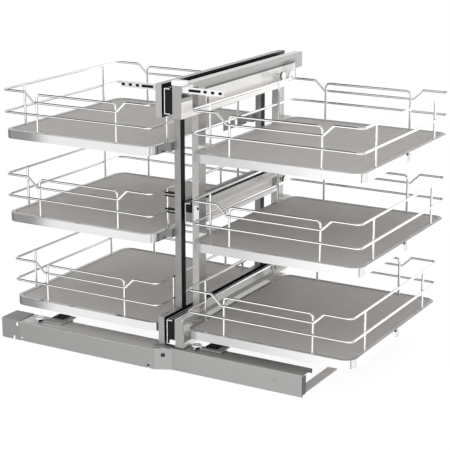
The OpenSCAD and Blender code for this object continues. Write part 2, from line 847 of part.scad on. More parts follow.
// A rim folded from sheet: two walls joined along the top, and a ledge inside for the board
module basket_rim(side, tier) {
    seam_w = 11;
    inner_w = tray_w - 2 * rim_t;
    inner_d = tray_d - 2 * rim_t;
    inner_r = tray_r - rim_t;
    color(chrome) at_basket(side, tier) translate([0, 0, -rim_h]) {
        difference() {
            rounded_plate(tray_w, tray_d, tray_r, rim_h);
            translate([0, 0, ledge_z]) rounded_plate(inner_w, inner_d, inner_r, rim_h);
            translate([0, 0, -cut]) rounded_plate(inner_w, inner_d, inner_r, ledge_z - ledge_t + cut);
            translate([0, 0, -cut]) rounded_plate(inner_w - 2 * ledge_w, inner_d - 2 * ledge_w, inner_r, rim_h);
            translate([0, 0, -cut]) difference() {
                rounded_plate(tray_w - 2 * rim_wall, tray_d - 2 * rim_wall, tray_r - rim_wall,
                              rim_h - rim_wall + cut);
                translate([0, 0, -cut]) rounded_plate(inner_w + 2 * rim_wall, inner_d + 2 * rim_wall,
                                                      inner_r + rim_wall, rim_h + 3 * cut);
            }
        }
        block([min(0, side) * (tray_w / 2 + seam_t) + max(0, side) * tray_w / 2, -seam_w / 2, 0],
              [min(0, side) * tray_w / 2 + max(0, side) * (tray_w / 2 + seam_t), seam_w / 2, rim_h - 2]);
    }
}

module basket_boards(side) {
    gap = 2 * (rim_t + fit_gap);
    color(panel_grey) for (tier = tiers) at_basket(side, tier) translate([0, 0, ledge_z - rim_h])
        rounded_plate(tray_w - gap, tray_d - gap, tray_r - rim_t - fit_gap, board_t);
}

// Wires round the tray: a dipped top wire, a middle wire, a loop at each end and side uprights
module basket_gallery(side, tier) {
    half_w = tray_w / 2 - wire_in;
    half_d = tray_d / 2 - wire_in;
    bend = corner_bend;
    dip_run = dip_drop * 1.05;
    loop_h = top_wire_h - loop_drop;
    dip = [[-half_w + bend, 0], [-dip_half - dip_run, 0], [-dip_half, -dip_drop],
           [dip_half, -dip_drop], [dip_half + dip_run, 0], [half_w - bend, 0]];
    loop = [[-loop_half, 0], [-loop_half, loop_h], [loop_half, loop_h], [loop_half, 0]];
    color(chrome) at_basket(side, tier) {
        for (h = [middle_wire_h, top_wire_h], sx = sides) translate([0, 0, h]) {
            wire([[sx * (half_w - bend), half_d], [sx * half_w, half_d],
                  [sx * half_w, -half_d], [sx * (half_w - bend), -half_d]], bend);
        }
        for (sy = sides) {
            translate([0, sy * half_d, middle_wire_h])
                rotate([90, 0, 0]) wire([[-half_w + bend, 0], [half_w - bend, 0]], 1);
            translate([0, sy * half_d, top_wire_h]) rotate([90, 0, 0]) wire(dip, 8);
            translate([0, sy * (tray_d / 2 - upright_in), 0]) rotate([90, 0, 0]) wire(loop, 10);
        }
        for (sx = sides, sy = sides)
            translate([sx * (tray_w / 2 - upright_in), sy * (tray_d / 2 - upright_end), 0])
                cylinder(d = wire_d, h = top_wire_h);
    }
}

base_rail_left();
base_rail_right();
joint_bracket();
floor_strap();
end_block();
end_plug();
travel_stops();
carriage_bar();
trolleys();
trolley_pads();
wheel_axles();
carriage_foot();
floor_wheel_fork();
rail_wheel(0);  // wheel_left
rail_wheel(1);  // wheel_right
floor_wheel();
rear_beam(top_beam_z, top_beam_h, beam_y, top_beam_len);  // rear_top_beam
rear_beam(middle_beam_z, middle_beam_h, rear_post_y + rear_post_d, post_pitch - rear_post_d);  // rear_middle_beam
rear_beam(bottom_beam_z, bottom_beam_h, beam_y, bottom_beam_len);  // rear_bottom_beam
rear_post(rear_post_y);  // rear_front_post
rear_post(rear_post_y + post_pitch);  // rear_back_post
rear_post_trim();
rear_arm();
slide_spacers();
rear_hooks();
front_top_beam();
front_middle_beam();
front_bottom_beam();
front_post(front_post_y, true);  // front_front_post
front_post(front_post_y + post_pitch, false);  // front_back_post
front_arm();
front_glides();
front_catch();
front_hooks();
ball_cages_outer();
ball_cages_inner();
slide_end_caps();
for (i = tiers) {
    slide_outer(i);
    slide_intermediate(i);
    slide_inner(i);
}
for (k = [0, 1]) {
    basket_boards(sides[k]);
    for (i = tiers) {
        basket_rim(sides[k], i);
        basket_gallery(sides[k], i);
    }
}
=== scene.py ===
import math

import bpy
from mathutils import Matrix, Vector


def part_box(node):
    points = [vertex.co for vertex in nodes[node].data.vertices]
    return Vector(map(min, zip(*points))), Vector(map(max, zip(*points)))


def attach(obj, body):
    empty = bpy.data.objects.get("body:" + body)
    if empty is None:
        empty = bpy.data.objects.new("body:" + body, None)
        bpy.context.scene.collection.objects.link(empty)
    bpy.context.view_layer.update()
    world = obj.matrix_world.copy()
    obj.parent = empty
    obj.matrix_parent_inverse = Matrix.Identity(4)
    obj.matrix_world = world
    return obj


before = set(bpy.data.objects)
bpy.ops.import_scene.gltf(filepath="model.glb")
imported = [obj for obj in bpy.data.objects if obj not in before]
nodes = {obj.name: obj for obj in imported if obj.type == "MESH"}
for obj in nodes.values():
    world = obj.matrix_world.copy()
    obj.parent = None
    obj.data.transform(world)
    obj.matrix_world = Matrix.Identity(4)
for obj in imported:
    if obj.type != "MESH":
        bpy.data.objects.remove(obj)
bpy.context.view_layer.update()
scene = bpy.context.scene

TIERS = ("bottom", "middle", "top")
SIDES = {"rear": "carriage", "front": "front"}

# Holes and slot of the flat arms, measured from an arm's free end
ARM_HOLES = (0.0065, 0.0250, 0.0435)
ARM_SLOT = (0.0545, 0.0845)
# Outer radius of the trays' corners, and the width of a rim's top
TRAY_CORNER = 0.029
RIM_WIDTH = 0.010
# How deep the tone of one face goes into a piece, and room past a piece's end
SKIN = 0.0006
THIN_SKIN = 0.0004
FRONT_SKIN = 0.0005
LIP_SKIN = 0.0008
PAST = 0.001

# Patches of changing tone or roughness in a metre
TONE_PATCHES = 9.0
METAL_PATCHES = 14.0
SLIDE_PATCHES = 25.0
BOARD_PATCHES = 30.0
PIGMENT_PATCHES = 40.0
PLASTIC_PATCHES = 60.0
# Fine lines or grain in a metre across X, Y and Z; lines run where the number is small
LINES_ALONG_X = (4.0, 500.0, 500.0)
LINES_ALONG_Y = (500.0, 4.0, 500.0)
LINES_ALONG_Z = (500.0, 500.0, 4.0)
ZINC_ALONG_X = (12.0, 350.0, 350.0)
ZINC_ALONG_Y = (350.0, 12.0, 350.0)
RIM_LINES = (6.0, 6.0, 700.0)
WIRE_LINES = (300.0, 300.0, 300.0)
BOARD_GRAIN = (120.0, 9.0, 60.0)
BOARD_PORES = (900.0, 260.0, 900.0)
MOULD_GRAIN = (1400.0, 1400.0, 1400.0)
# How deep the lines and the grain are, and how strongly metal shows its lines
DRAWN_DEPTH = 0.00001
WIRE_DEPTH = 0.000004
BOARD_DEPTH = 0.00004
MOULD_DEPTH = 0.00002
METAL_STRENGTH = 0.5
# How far roughness goes either way from its middle, and how dark the darker patches of a tone are
METAL_SPREAD = 0.08
PLASTIC_SPREAD = 0.15
PATCH_DARK = 0.97
# What most of a noise texture's values lie between
NOISE_SPAN = (0.3, 0.7)

PLAIN = (1.0, 1.0, 1.0)
WARM = (1.0, 0.985, 0.965)


# Shader groups shared by the finishes

def new_group(name, inputs, outputs):
    """An empty shader group with named sockets, given as (name, socket type, default)."""
    group = bpy.data.node_groups.new(name, "ShaderNodeTree")
    for label, kind, default in inputs:
        socket = group.interface.new_socket(label, in_out="INPUT", socket_type=kind)
        if default is not None:
            socket.default_value = default
    for label, kind in outputs:
        group.interface.new_socket(label, in_out="OUTPUT", socket_type=kind)
    source = group.nodes.new("NodeGroupInput")
    sink = group.nodes.new("NodeGroupOutput")
    return group, source.outputs, sink.inputs


def give(tree, socket, value):
    """Sets a socket to a number, or links another socket to it."""
    if isinstance(value, (int, float)):
        socket.default_value = value
    else:
        tree.links.new(value, socket)


def map_range(tree, value, low, high, from_low=0.0, from_high=1.0):
    """A value between two limits, carried over to the range from low to high."""
    node = tree.nodes.new("ShaderNodeMapRange")
    node.inputs["From Min"].default_value = from_low
    node.inputs["From Max"].default_value = from_high
    for socket, given in (("Value", value), ("To Min", low), ("To Max", high)):
        give(tree, node.inputs[socket], given)
    return node.outputs["Result"]


def maths(tree, operation, *values):
    """One step of arithmetic on sockets or numbers."""
    node = tree.nodes.new("ShaderNodeMath")
    node.operation = operation
    for socket, value in zip(node.inputs, values):
        give(tree, socket, value)
    return node.outputs[0]


def make_cloudy():
    """Slow, soft changes over a surface, from Low to High."""
    group, given, out = new_group(
        "cloudy",
        [("Vector", "NodeSocketVector", None), ("Scale", "NodeSocketFloat", METAL_PATCHES),
         ("Low", "NodeSocketFloat", 0.0), ("High", "NodeSocketFloat", 1.0)],
        [("Value", "NodeSocketFloat")])
    noise = group.nodes.new("ShaderNodeTexNoise")
    noise.inputs["Detail"].default_value = 4.0
    group.links.new(given["Vector"], noise.inputs["Vector"])
    group.links.new(given["Scale"], noise.inputs["Scale"])
    value = map_range(group, noise.outputs["Fac"], given["Low"], given["High"], *NOISE_SPAN)
    group.links.new(value, out["Value"])
    return group


def make_drawn_lines():
    """Fine lines left by drawing or rolling; Stretch is small along the lines."""
    group, given, out = new_group(
        "drawn_lines",
        [("Vector", "NodeSocketVector", None), ("Stretch", "NodeSocketVector", PLAIN)],
        [("Value", "NodeSocketFloat")])
    scaled = group.nodes.new("ShaderNodeVectorMath")
    scaled.operation = "MULTIPLY"
    noise = group.nodes.new("ShaderNodeTexNoise")
    noise.inputs["Scale"].default_value = 1.0
    noise.inputs["Detail"].default_value = 2.0
    group.links.new(given["Vector"], scaled.inputs[0])
    group.links.new(given["Stretch"], scaled.inputs[1])
    group.links.new(scaled.outputs[0], noise.inputs["Vector"])
    group.links.new(map_range(group, noise.outputs["Fac"], 0.0, 1.0, *NOISE_SPAN), out["Value"])
    return group


CLOUDY = make_cloudy()
DRAWN_LINES = make_drawn_lines()


class Finish:
    """A material with one Principled shader, whose colour, roughness and bump come from the shared groups."""

    def __init__(self, name, metallic=0.0, specular=0.5):
        self.material = bpy.data.materials.new(name)
        self.material.use_nodes = True
        self.tree = self.material.node_tree
        self.shader = self.tree.nodes["Principled BSDF"]
        self.shader.inputs["Metallic"].default_value = metallic
        self.shader.inputs["Specular IOR Level"].default_value = specular
        coords = self.tree.nodes.new("ShaderNodeTexCoord")
        self.place = coords.outputs["Object"]

    def effect(self, group, **values):
        """One of the shared groups, with its own values."""
        node = self.tree.nodes.new("ShaderNodeGroup")
        node.node_tree = group
        self.tree.links.new(self.place, node.inputs["Vector"])
        for socket, value in values.items():
            node.inputs[socket].default_value = value
        return node.outputs["Value"]

    def cloudy(self, patches, low, high):
        """A value that changes slowly between low and high."""
        return self.effect(CLOUDY, Scale=patches, Low=low, High=high)

    def lines(self, stretch):
        """A value that changes from line to line, between nought and one."""
        return self.effect(DRAWN_LINES, Stretch=stretch)

    def after(self, axis, start, edge=0.0002):
        """Nought before a place along X, Y or Z, and one after it; edge is half the width of the change."""
        split = self.tree.nodes.new("ShaderNodeSeparateXYZ")
        self.tree.links.new(self.place, split.inputs[0])
        return map_range(self.tree, split.outputs[axis], 0.0, 1.0, start - edge, start + edge)

    def between(self, axis, start, end, edge=0.0002):
        """One between two places along X, Y or Z, and nought outside them."""
        return maths(self.tree, "SUBTRACT", self.after(axis, start, edge), self.after(axis, end, edge))

    def around(self, axis, middle, half):
        """One within half a width of a place along X, Y or Z."""
        return self.between(axis, middle - half, middle + half)

    def front_face(self, low, skin=FRONT_SKIN):
        """One on the front face of a piece whose box starts at low."""
        return self.between("Y", low[1] - PAST, low[1] + skin)

    def right_face(self, high, skin=SKIN):
        """One on the right-hand face of a piece whose box ends at high."""
        return self.after("X", high[0] - skin)

    def top_face(self, high, skin=SKIN):
        """One on the upper face of a piece whose box ends at high."""
        return self.after("Z", high[2] - skin)

    def all_of(self, first, *masks):
        """One where every mask is one."""
        for mask in masks:
            first = maths(self.tree, "MULTIPLY", first, mask)
        return first

    def any_of(self, first, *masks):
        """One where at least one mask is one."""
        for mask in masks:
            first = maths(self.tree, "MAXIMUM", first, mask)
        return first

    def colour(self, factor, *stops):
        """Colours spread evenly over a factor from nought to one."""
        ramp = self.tree.nodes.new("ShaderNodeValToRGB")
        elements = ramp.color_ramp.elements
        for _ in stops[2:]:
            elements.new(0.5)
        for place, (element, stop) in enumerate(zip(elements, stops)):
            element.position = place / (len(stops) - 1)
            element.color = (*stop, 1.0)
        self.tree.links.new(factor, ramp.inputs["Fac"])
        self.tree.links.new(ramp.outputs["Color"], self.shader.inputs["Base Color"])
        return ramp.outputs["Color"]

    def paint(self, ground, *marks):
        """A ground colour with slow changes, and marks over it, each a mask and a colour."""
        dark = tuple(PATCH_DARK * part for part in ground)
        last = self.colour(self.cloudy(TONE_PATCHES, 0.0, 1.0), dark, ground)
        for mask, mark in marks:
            mix = self.tree.nodes.new("ShaderNodeMix")
            mix.data_type = "RGBA"
            self.tree.links.new(mask, mix.inputs[0])
            self.tree.links.new(last, mix.inputs[6])
            mix.inputs[7].default_value = (*mark, 1.0)
            last = mix.outputs[2]
        self.tree.links.new(last, self.shader.inputs["Base Color"])

    def rough(self, patches, low, high):
        """Roughness that changes slowly between two values."""
        self.tree.links.new(self.cloudy(patches, low, high), self.shader.inputs["Roughness"])

    def bump(self, stretch, depth, strength=1.0):
        """Fine lines or grain of a given depth."""
        node = self.tree.nodes.new("ShaderNodeBump")
        node.inputs["Distance"].default_value = depth
        node.inputs["Strength"].default_value = strength
        self.tree.links.new(self.lines(stretch), node.inputs["Height"])
        self.tree.links.new(node.outputs["Normal"], self.shader.inputs["Normal"])

    def drawn(self, low, high, stretch, depth=DRAWN_DEPTH):
        """The surface of drawn, rolled or polished metal."""
        self.rough(METAL_PATCHES, low, high)
        self.bump(stretch, depth, METAL_STRENGTH)

    def grained(self, low, high, depth=MOULD_DEPTH):
        """The surface of moulded plastic or rubber."""
        self.rough(PLASTIC_PATCHES, low, high)
        self.bump(MOULD_GRAIN, depth)


def tone(value, tint=PLAIN):
    """A grey, or the same lightness with a tint."""
    return tuple(value * part for part in tint)


# Finishes

def metal(name, light, rough, stretch, depth=DRAWN_DEPTH, tint=PLAIN, metallic=1.0):
    """A bare or plated metal with drawn lines; satin sheet is less than fully metallic."""
    made = Finish(name, metallic)
    made.paint(tone(light, tint))
    made.drawn(rough * (1.0 - METAL_SPREAD), rough * (1.0 + METAL_SPREAD), stretch, depth)
    return made.material


def satin(name, light, rough, stretch, metallic):
    """Warm satin steel."""
    return metal(name, light, rough, stretch, tint=WARM, metallic=metallic)


def lipped_steel(name, web, front, lip, metallic):
    """Satin steel of a front channel, its web painted light: a front end and top lip painted darker as shade,
    a lower flange painted light, and on the top beam a band in the lip's shaded tone over a painted shadow
    line under the lip.
    """
    flange_start, flange_end, flange_edge = 0.001, 0.012, 0.0008
    shadow_low, lip_band_low, lip_band_top = 0.0290, 0.0235, 0.0110
    lip_band_edge, shadow_edge = 0.0006, 0.0012
    low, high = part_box(name)
    made = Finish(name + "_steel", metallic)
    lit_flange = made.between("Z", low[2] + flange_start, low[2] + flange_end, flange_edge)
    shaded_lip = made.all_of(made.right_face(high, LIP_SKIN), made.after("Z", (low[2] + high[2]) / 2))
    # Painted light on the lower flange, against the shade inside the channel.
    marks = [(lit_flange, tone(0.98, WARM))]
    if name == "front_top_beam":
        # Painted shade: a band in the lip's tone makes the lip look taller, and a painted shadow line lies
        # under it.
        lip_shade_band = made.between("Z", high[2] - lip_band_low, high[2] - lip_band_top, lip_band_edge)
        shadow_band = made.between("Z", high[2] - shadow_low, high[2] - lip_band_low, shadow_edge)
        marks += [(lip_shade_band, tone(lip, WARM)), (shadow_band, tone(0.12, WARM))]
    # Painted shade on the upper lip and the front end.
    marks += [(shaded_lip, tone(lip, WARM)), (made.front_face(low), tone(front, WARM))]
    made.paint(tone(web, WARM), *marks)
    made.drawn(0.36, 0.40, LINES_ALONG_Y)
    return made.material


def backed_steel(name, light):
    """Satin steel of a rear beam, with painted shade on its face towards the slides; the middle one is
    painted black on top with a pale line along it, standing for the slides seen from above.
    """
    line_start, line_end = 0.004, 0.007
    low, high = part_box(name)
    made = Finish(name + "_steel", 0.5, 0.3)
    # Painted shade on the face towards the slides.
    marks = [(made.right_face(high, THIN_SKIN), tone(0.012))]
    if name == "rear_middle_beam":
        # The middle beam's top is painted black with a pale line, standing for the slides seen from above.
        black_top = made.top_face(high, THIN_SKIN)
        line = made.all_of(black_top, made.between("X", low[0] + line_start, low[0] + line_end))
        marks += [(black_top, tone(0.012)), (line, tone(0.60))]
    made.paint(tone(light, WARM), *marks)
    made.drawn(0.25, 0.29, LINES_ALONG_Y)
    return made.material


def rail_steel(name, front, top):
    """Satin sheet steel of the floor rail, its upper face painted in its own tone for the light and shade on
    it; the free end is painted black.
    """
    _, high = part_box(name)
    made = Finish(name + "_steel", 0.5)
    # Painted light and shade on the upper face: much lighter than the front on the left rail, darker on the
    # end block.
    marks = [(made.top_face(high), tone(top, WARM))]
    if name == "base_rail_right":
        marks.append((made.right_face(high), tone(0.015)))
    made.paint(tone(front, WARM), *marks)
    made.drawn(0.28, 0.32, LINES_ALONG_X)
    return made.material


def bracket_steel():
    """Satin sheet steel of the joint bracket, with painted shade round its screw hole."""
    hole_x, hole_z, hole_half = -0.0105, 0.035, 0.0042
    made = Finish("joint_bracket_steel", 0.5)
    # Painted shade: a dark square round the screw hole.
    hole = made.all_of(made.around("X", hole_x, hole_half), made.around("Z", hole_z, hole_half))
    made.paint(tone(0.35, WARM), (hole, tone(0.012)))
    made.drawn(0.28, 0.32, LINES_ALONG_X)
    return made.material


def plated_post():
    """Satin steel of the front post, with a bright adjusting plate and its dark screw on the front face."""
    plate_in, plate_z = 0.004, (0.327, 0.366)
    screw_in, screw_half, screw_z = 0.014, 0.0025, (0.357, 0.363)
    low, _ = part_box("front_front_post")
    made = Finish("front_front_post_steel", 0.45)
    face = made.front_face(low)
    plate = made.all_of(face, made.after("X", low[0] + plate_in), made.between("Z", *plate_z))
    screw = made.all_of(face, made.around("X", low[0] + screw_in, screw_half), made.between("Z", *screw_z))
    made.paint(tone(0.40, WARM), (plate, tone(0.66)), (screw, tone(0.01)))
    made.drawn(0.25, 0.29, LINES_ALONG_Z)
    return made.material


def corner_reflection_line(made, name, turn):
    """A painted reflection: a thin upright line on a rim's front right corner, at a turn from the front in
    degrees.
    """
    half_turn = 2.5
    low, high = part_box(name)
    centre = high[0] - TRAY_CORNER
    start, end = (centre + TRAY_CORNER * math.sin(math.radians(edge))
                  for edge in (turn - half_turn, turn + half_turn))
    return made.all_of(made.between("X", start, end),
                       made.between("Y", low[1] - PAST, low[1] + TRAY_CORNER))


def rim_reflections(made, name):
    """Painted reflections on a rim: a grey top, darker at the back, and thin dark lines in its front right
    corner.
    """
    _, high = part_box(name)
    top = made.top_face(high)
    back = made.all_of(top, made.after("Y", high[1] - RIM_WIDTH))
    return ((top, tone(0.43)), (back, tone(0.10)),
            (corner_reflection_line(made, name, 45.0), tone(0.30)), (corner_reflection_line(made, name, 75.0), tone(0.10)))


def plain_rim(name):
    """Mirror chrome of a rear basket's rim, with painted reflections."""
    made = Finish(name + "_chrome", 1.0)
    made.paint(tone(0.67), *rim_reflections(made, name))
    made.drawn(0.040, 0.050, RIM_LINES)
    return made.material


def seamed_rim(name):
    """Chrome of a front basket's rim, painted brighter to the right and in its own tone on the outer side as
    reflections, and darker beside the seam in that side.
    """
    reflection_middle, reflection_half = 0.24, 0.13
    seam_patch_start, seam_patch_end = 0.001, 0.025
    low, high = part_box(name)
    seam = (low[1] + high[1]) / 2
    made = Finish(name + "_chrome", 0.5)
    # Painted reflections: brighter towards the right, and an own tone on the outer side.
    bright = made.after("X", low[0] + reflection_middle, reflection_half)
    side = made.right_face(high)
    seam_patch = made.all_of(side, made.between("Y", seam + seam_patch_start, seam + seam_patch_end))
    made.paint(tone(0.50), (bright, tone(0.78)), (side, tone(0.58)), (seam_patch, tone(0.24)),
               *rim_reflections(made, name))
    made.drawn(0.16, 0.20, RIM_LINES)
    return made.material


def knob_zinc():
    """Bright zinc of the catch; the knobs' inner collars and grooves are painted dark as shade."""
    knobs_end = 0.040
    collar_in, groove_in, head_in = 0.0061, 0.0039, 0.0021
    low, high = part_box("front_catch")
    made = Finish("catch_zinc", 0.5)
    knobs = made.between("Y", low[1] - PAST, low[1] + knobs_end)
    stem = made.all_of(knobs, made.between("X", low[0] - PAST, high[0] - collar_in))
    # Painted shade on the inner collar and in the groove.
    shaded_collar = made.all_of(knobs, made.between("X", high[0] - collar_in, high[0] - groove_in))
    shadow_band = made.all_of(knobs, made.between("X", high[0] - groove_in, high[0] - head_in))
    made.paint(tone(0.80), (stem, tone(0.90)), (shaded_collar, tone(0.20)), (shadow_band, tone(0.02)))
    made.drawn(0.18, 0.22, ZINC_ALONG_Y)
    return made.material


def clip_plastic():
    """Black plastic of the post strips and wire clips, with a pale line along each clip's middle."""
    clip_heights, line_half, clip_reach = (0.346, 0.384), 0.0014, 0.030
    low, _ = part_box("rear_post_trim")
    made = Finish("post_trim_plastic", specular=0.10)
    middles = made.any_of(*(made.around("Z", height, line_half) for height in clip_heights))
    line = made.all_of(middles, made.between("X", low[0] - PAST, low[0] + clip_reach))
    made.paint(tone(0.010), (line, tone(0.34)))
    made.grained(0.38, 0.52)
    return made.material


def cap_plastic():
    """Plastic of the slides' end caps: black, but grey on the lower half of the middle one."""
    grey_z = (0.300, 0.347)
    made = Finish("end_cap_plastic", specular=0.10)
    made.paint(tone(0.010), (made.between("Z", *grey_z), tone(0.22, WARM)))
    made.grained(0.38, 0.52)
    return made.material


def trolley_steel():
    """Deck steel, with bright hoods over the wheels, lit from above, and the cheeks under them painted black
    as their shadow.
    """
    hood_low, cheek_half = 0.0556, 0.0074
    made = Finish("trolley_steel", 0.3)
    lit_hood = made.after("Z", hood_low)
    shadowed_cheeks = []
    for wheel in ("wheel_left", "wheel_right"):
        low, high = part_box(wheel)
        shadowed_cheeks.append(made.around("X", (low[0] + high[0]) / 2, cheek_half))
    # Painted shadow on the cheeks under the hoods.
    below = maths(made.tree, "SUBTRACT", 1.0, lit_hood)
    lift = maths(made.tree, "SUBTRACT", lit_hood, made.all_of(made.any_of(*shadowed_cheeks), below))
    made.colour(map_range(made.tree, lift, 0.0, 1.0, -1.0, 1.0),
                tone(0.015), tone(0.42, WARM), tone(0.90))
    made.drawn(0.24, 0.30, LINES_ALONG_X)
    return made.material


def from_tip(name, distance):
    """Place along X at a distance from an arm's free end."""
    low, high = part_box(name)
    return low[0] + distance if name == "rear_arm" else high[0] - distance


def drilled_zinc(name, light):
    """Bright zinc of a flat arm, with painted shade round its holes and inside its slot."""
    hole_half, slot_half = 0.0042, 0.0030
    low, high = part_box(name)
    made = Finish(name + "_zinc", 0.5)
    holes = [made.around("X", from_tip(name, distance), hole_half) for distance in ARM_HOLES]
    slot = made.between("X", *sorted(from_tip(name, distance) for distance in ARM_SLOT))
    # Painted shade in the holes and the slot.
    dark = made.all_of(made.any_of(slot, *holes), made.around("Z", (low[2] + high[2]) / 2, slot_half))
    made.paint(tone(light), (dark, tone(0.01)))
    made.drawn(0.18, 0.22, ZINC_ALONG_X)
    return made.material


def moulded(name, dark, light, rough, depth, specular=0.5):
    """Moulded plastic or rubber with a fine grain."""
    made = Finish(name, specular=specular)
    made.colour(made.cloudy(PIGMENT_PATCHES, 0.0, 1.0), dark, light)
    made.grained(rough * (1.0 - PLASTIC_SPREAD), rough * (1.0 + PLASTIC_SPREAD), depth)
    return made.material


# Heights between the tiers of boards, and how light each board of a side is painted for the light and shade
# on its tier, from the bottom up
BETWEEN_TIERS = (0.2, 0.4)
TIER_PAINTED_LIGHT = {"rear": (0.72, 0.83, 0.57), "front": (0.58, 0.60, 0.54)}
DARK_LAMINATE = (0.300, 0.286, 0.273)
PALE_LAMINATE = (0.500, 0.477, 0.456)


def laminate(side):
    """Warm grey boards with a faint pressed grain along the depth, each tier painted a little lighter or
    darker for the light and shade on it.
    """
    grain = 0.035
    lights = TIER_PAINTED_LIGHT[side]
    made = Finish(side + "_laminate")
    light = map_range(made.tree, made.lines(BOARD_GRAIN), lights[0] - grain, lights[0] + grain)
    # Painted light and shade: each tier's board gets its own tone.
    for height, lower, upper in zip(BETWEEN_TIERS, lights, lights[1:]):
        step = maths(made.tree, "MULTIPLY", made.after("Z", height), upper - lower)
        light = maths(made.tree, "ADD", light, step)
    made.colour(light, DARK_LAMINATE, PALE_LAMINATE)
    made.rough(BOARD_PATCHES, 0.42, 0.55)
    made.bump(BOARD_PORES, BOARD_DEPTH)
    return made.material


def slide_steel(name):
    """Black slide steel, its black partly painted shade inside the slides, with a bright sawn front end; an
    outer member has bright drawn edges on top.
    """
    edge_out, edge_width, second_edge = 0.0001, 0.0016, 0.008
    low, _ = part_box(name)
    made = Finish(name + "_steel", specular=0.10)
    bright = [made.front_face(low, THIN_SKIN)]
    if "outer" in name:
        for start in (low[0], low[0] + second_edge):
            bright.append(made.between("X", start - edge_out, start + edge_width))
    made.colour(made.any_of(*bright), tone(0.012), tone(0.62))
    made.rough(SLIDE_PATCHES, 0.40, 0.50)
    made.bump(LINES_ALONG_Y, DRAWN_DEPTH)
    return made.material


CHROME_WIRE = metal("chrome_wire", 0.92, 0.05, WIRE_LINES, WIRE_DEPTH)
ZINC = metal("bright_zinc", 0.78, 0.20, ZINC_ALONG_Y, metallic=0.5)
REAR_POST_STEEL = satin("rear_post_steel", 0.29, 0.27, LINES_ALONG_Z, 0.45)
BACK_POST_STEEL = satin("back_post_steel", 0.44, 0.27, LINES_ALONG_Z, 0.45)
RAIL_STEEL = satin("rail_steel", 0.39, 0.30, LINES_ALONG_X, 0.5)
BLACK = moulded("black_plastic", tone(0.006), tone(0.012), 0.45, MOULD_DEPTH, 0.10)
WHITE = moulded("white_plastic", (0.80, 0.80, 0.79), (0.86, 0.86, 0.85), 0.30, 0.00001)

NODE_FINISHES = {
    "floor_strap": satin("strap_steel", 0.88, 0.30, LINES_ALONG_Y, 0.1),
    "joint_bracket": bracket_steel(),
    "end_plug": WHITE,
    "travel_stops": moulded("stop_rubber", tone(0.012), (0.030, 0.030, 0.028), 0.70, 0.00003),
    "carriage_bar": RAIL_STEEL,
    "carriage_foot": RAIL_STEEL,
    "floor_wheel_fork": RAIL_STEEL,
    "trolleys": trolley_steel(),
    "trolley_pads": BLACK,
    "wheel_axles": ZINC,
    "wheel_left": BLACK,
    "wheel_right": BLACK,
    "floor_wheel": BLACK,
    "rear_front_post": REAR_POST_STEEL,
    "rear_back_post": REAR_POST_STEEL,
    "rear_post_trim": clip_plastic(),
    "rear_arm": drilled_zinc("rear_arm", 0.58),
    # One hook steel in two tones: painted darker as shade on the rear hooks, painted lighter on the front
    # hooks
    "rear_hooks": satin("rear_hook_steel", 0.27, 0.16, LINES_ALONG_Y, 0.7),
    "front_front_post": plated_post(),
    "front_back_post": BACK_POST_STEEL,
    "front_arm": drilled_zinc("front_arm", 0.74),
    "front_hooks": satin("front_hook_steel", 0.60, 0.27, LINES_ALONG_Y, 0.5),
    "front_catch": knob_zinc(),
    "front_glides": WHITE,
    "slide_spacers": BLACK,
    "slide_end_caps": cap_plastic(),
    "ball_cages_outer": ZINC,
    "ball_cages_inner": ZINC,
}
# Tones of the front and the upper face; the upper face's tone is painted light and shade
RAIL_TONES = {"base_rail_left": (0.335, 0.72), "base_rail_right": (0.34, 0.40), "end_block": (0.30, 0.23)}
# Tones of the web, painted light, of the front end and the upper lip, painted shade, and how metallic the
# steel is
CHANNEL_TONES = {"front_top_beam": (0.90, 0.34, 0.41, 0.5), "front_middle_beam": (0.95, 0.60, 0.60, 0.1),
                 "front_bottom_beam": (0.90, 0.34, 0.41, 0.5)}
REAR_BEAM_TONES = {"rear_top_beam": 0.41, "rear_middle_beam": 0.41, "rear_bottom_beam": 0.33}


def finish_of(name):
    """The finish of one node, by its own name or by the family of pieces that it belongs to."""
    if name in NODE_FINISHES:
        return NODE_FINISHES[name]
    if name in RAIL_TONES:
        return rail_steel(name, *RAIL_TONES[name])
    if name in CHANNEL_TONES:
        return lipped_steel(name, *CHANNEL_TONES[name])
    if name in REAR_BEAM_TONES:
        return backed_steel(name, REAR_BEAM_TONES[name])
    if name.startswith("slide_"):
        return slide_steel(name)
    side, family = name.split("_")[0], name.split("_")[-1]
    if family == "boards":
        return laminate(side)
    if family == "rim":
        return plain_rim(name) if side == "rear" else seamed_rim(name)
    return CHROME_WIRE


for name, obj in nodes.items():
    obj.data.materials.clear()
    obj.data.materials.append(finish_of(name))


# Welds and clips, spread over points with Geometry Nodes

def new_spread(name, sizes):
    """An empty geometry tree with a Points input, named size inputs and a Finish material."""
    tree = bpy.data.node_groups.new(name, "GeometryNodeTree")
    tree.interface.new_socket("Points", in_out="INPUT", socket_type="NodeSocketGeometry")
    for label, default in sizes:
        socket = tree.interface.new_socket(label, in_out="INPUT", socket_type="NodeSocketFloat")
        socket.default_value = default
    tree.interface.new_socket("Finish", in_out="INPUT", socket_type="NodeSocketMaterial")
    tree.interface.new_socket("Geometry", in_out="OUTPUT", socket_type="NodeSocketGeometry")
    return tree, tree.nodes.new("NodeGroupInput").outputs


def size_of(tree, given, labels):
    """The three named sizes as one vector."""
    size = tree.nodes.new("ShaderNodeCombineXYZ")
    for axis, label in zip("XYZ", labels):
        tree.links.new(given[label], size.inputs[axis])
    return size.outputs[0]


